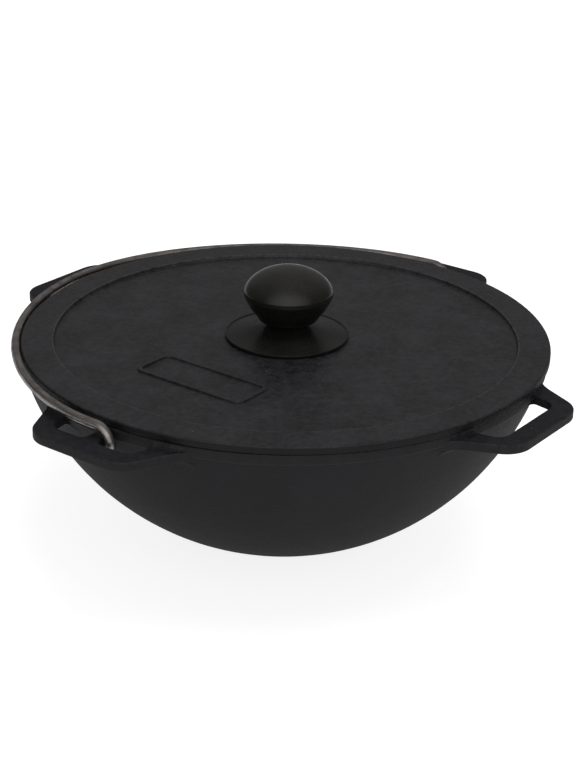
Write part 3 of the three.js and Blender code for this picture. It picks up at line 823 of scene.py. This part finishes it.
def bailPath():
    wire = bail["wireRadius"]
    ring = wire + math.hypot(ear["webWidth"], ear["thickness"]) / 2 + bail["hookPlay"]
    halfSpan = slotOuter - wire - bail["hookToBar"]
    shift = nodeCentre("bail_handle").x
    reach = bowl["rimRadius"] + bail["crownOutset"]
    crownTop = bowlHeight + wire + bail["crownRise"]

    def half(side):
        hookTop = earMiddle + ring + bail["hookRise"][side]
        shoulder = bowlHeight + wire + bail["shoulderRise"][side]
        outset = bowl["rimRadius"] + bail["shoulderOutset"][side]
        # pull and pullTop put the middle of the half's curve on its shoulder
        pull = (outset / math.hypot(halfSpan, reach) - 0.5) * 8 / 3
        pullTop = (8 * shoulder - hookTop - 4 * crownTop) / 3
        # the ring hook is stretched upwards and away from the arch
        taller, wider = bail["hookRise"][side] / ring, bail["hookReach"] / ring
        hook = arcPoints((0, earMiddle), ring, bail["hookEndAngle"], 90, bail["hookSteps"])
        hook = [(y + min(0, y) * wider, z + max(0, z - earMiddle) * taller) for y, z in hook]
        points = [Vector((side * halfSpan, y, z)) for y, z in hook]
        points += bezierPoints([(side * halfSpan, 0, hookTop), (side * halfSpan, pull * reach, pullTop),
                                (side * pull * halfSpan, reach, crownTop), (0, reach, crownTop)],
                               bail["archSteps"])[1:]
        return points

    path = half(-1) + half(1)[-2::-1]
    return [point + Vector((shift, 0, 0)) for point in path]


def sweptWire(name, path, radius):
    sides, endRound, last = bail["sides"], bail["endRound"], len(path) - 1
    shape = bmesh.new()
    uvLayer = shape.loops.layers.uv.new("wire")
    tangents = [(path[min(k + 1, last)] - path[max(k - 1, 0)]).normalized() for k in range(last + 1)]
    across = tangents[0].orthogonal().normalized()
    rings, lengths, run = [], [], 0
    for k, (point, tangent) in enumerate(zip(path, tangents)):
        if k:
            across = tangents[k - 1].rotation_difference(tangent) @ across
            run += (point - path[k - 1]).length
        stations = [(point, radius, run)]
        if k in (0, last):  # a cut end with a rounded edge
            outward = -tangent if k == 0 else tangent
            rounded = [(point + outward * endRound * math.sin(angle) - outward * endRound,
                        radius - endRound * (1 - math.cos(angle)), run) for angle in bail["endAngles"]]
            stations = rounded[::-1] if k == 0 else rounded
        for middle, size, length in stations:
            ring = []
            for s in range(sides):
                spoke = Quaternion(tangent, 2 * math.pi * s / sides) @ across
                ring.append(shape.verts.new((middle + spoke * size) * mm))
            rings.append(ring)
            lengths.append(length)
    for k in range(len(rings) - 1):
        for s in range(sides):
            far = (s + 1) % sides
            face = shape.faces.new([rings[k][s], rings[k][far], rings[k + 1][far], rings[k + 1][s]])
            spots = [(s, lengths[k]), (s + 1, lengths[k]), (s + 1, lengths[k + 1]), (s, lengths[k + 1])]
            for loop, (turn, length) in zip(face.loops, spots):
                loop[uvLayer].uv = (turn / sides * 2 * math.pi * radius, length)
    shape.faces.new(rings[0][::-1])
    shape.faces.new(rings[-1])
    return pieceFrom(shape, name)


wirePiece = sweptWire("bail_wire", bailPath(), bail["wireRadius"] + bail["wireSwell"])
smoothed(wirePiece, bail["sharpAngle"])
dressed(wirePiece, drawnWire("wire_steel_finish", wireSteel), "bail", "bail_steel", "bail_handle")


# Studio

studio = {
    "floorSize": 8, "floorDrop": 0.0001, "floorColour": (0.36, 0.36, 0.36, 1), "floorRoughness": 0.9,
    "floorGlow": 0.84, "floorMirrored": 0.28, "worldLight": 0.5, "wallGlow": 0.072,
    "ceilingGlow": 0.18, "ceilingStart": 0.3, "glowEdge": 0.5,
    "frontGlow": 1.0, "frontRise": 20, "backGlow": 0.12, "backRise": 20,
    "lamps": {
        "overhead": {"at": (0.1, -0.25, 1.8), "size": 1.4, "power": 22},
        "front": {"at": (-0.9, -1.8, 1.1), "size": 1.6, "power": 6},
    },
}
view = {
    "target": (0.00265, -0.00356, 0.10476), "distance": 1.24429, "azimuth": -53.37, "elevation": 23.88,
    "roll": 1.13, "lens": 84.17, "sensor": 36,
}


def seenBy(graph):
    # 1 for the camera's own rays, and 1 for rays mirrored or passed on by a surface
    rays = [graph.node("ShaderNodeLightPath", {}, {}, ray)
            for ray in ("Is Camera Ray", "Is Glossy Ray", "Is Transmission Ray")]
    return rays[0], rays[1] + rays[2]


def whiteFloor():
    half = studio["floorSize"] / 2
    mesh = bpy.data.meshes.new("floor")
    corners = [(-half, -half, 0), (half, -half, 0), (half, half, 0), (-half, half, 0)]
    mesh.from_pydata(corners, [], [(0, 1, 2, 3)])
    floor = bpy.data.objects.new("floor", mesh)
    floor.location.z = -studio["floorDrop"]
    scene.collection.objects.link(floor)
    material = bpy.data.materials.new("floor_white")
    graph = Graph(material)
    camera, mirrored = seenBy(graph)
    glow = camera * studio["floorGlow"] + mirrored * studio["floorMirrored"]
    graph.shade(Base_Color=studio["floorColour"], Roughness=studio["floorRoughness"],
                Specular_IOR_Level=0.0, Emission_Color=glow, Emission_Strength=1.0)
    mesh.materials.append(material)


def cameraDirection(rise, turn=0):
    turn, rise = math.radians(view["azimuth"] + turn), math.radians(rise)
    return Vector((math.sin(turn) * math.cos(rise), -math.cos(turn) * math.cos(rise), math.sin(rise)))


def studioWorld():
    # white to the camera; surfaces mirror a pale room that is brightest in front of the pot
    world = bpy.data.worlds.new("studio")
    scene.world = world
    graph = Graph(world)
    camera, mirrored = seenBy(graph)
    direction = graph.node("ShaderNodeTexCoord", {}, {}, "Generated")
    height = graph.node("ShaderNodeSeparateXYZ", {}, {"Vector": direction}, "Z")
    ceiling = graph.ranged(height, studio["ceilingStart"], 1.0, 0.0, studio["ceilingGlow"])
    room = studio["wallGlow"] + ceiling
    for side, turn in (("front", 0), ("back", 180)):
        towards = {0: direction, 1: cameraDirection(studio[side + "Rise"], turn)}
        facing = graph.node("ShaderNodeVectorMath", {"operation": "DOT_PRODUCT"}, towards, "Value")
        room = room + graph.ranged(facing, studio["glowEdge"], 1.0, 0.0, studio[side + "Glow"])
    strength = camera + mirrored * room + (1 - camera - mirrored) * studio["worldLight"]
    background = graph.tree.nodes["Background"]
    graph.feed(background.inputs["Color"], (1, 1, 1, 1))
    graph.feed(background.inputs["Strength"], strength)


def softLamp(name, lamp):
    light = bpy.data.lights.new(name, "AREA")
    light.shape = "DISK"
    light.size = lamp["size"]
    light.energy = lamp["power"]
    holder = bpy.data.objects.new(name, light)
    holder.location = lamp["at"]
    holder.visible_glossy = False  # the room gives the gloss, so no lamp's disc shows in it
    aim = Vector(view["target"]) - Vector(lamp["at"])
    holder.rotation_euler = aim.to_track_quat("-Z", "Y").to_euler()
    scene.collection.objects.link(holder)


def photoCamera():
    back = cameraDirection(view["elevation"])
    lens = bpy.data.cameras.new("photo_camera")
    lens.sensor_fit = "VERTICAL"
    lens.sensor_height = view["sensor"]
    lens.lens = view["lens"]
    camera = bpy.data.objects.new("photo_camera", lens)
    camera.location = Vector(view["target"]) + back * view["distance"]
    aim = (-back).to_track_quat("-Z", "Y")
    roll = Quaternion((0, 0, 1), math.radians(view["roll"]))
    camera.rotation_euler = (aim @ roll).to_euler()
    scene.collection.objects.link(camera)
    scene.camera = camera


whiteFloor()
studioWorld()
for lampName, lampSettings in studio["lamps"].items():
    softLamp(lampName, lampSettings)
photoCamera()
scene.view_settings.view_transform = "Standard"
print("studio set")
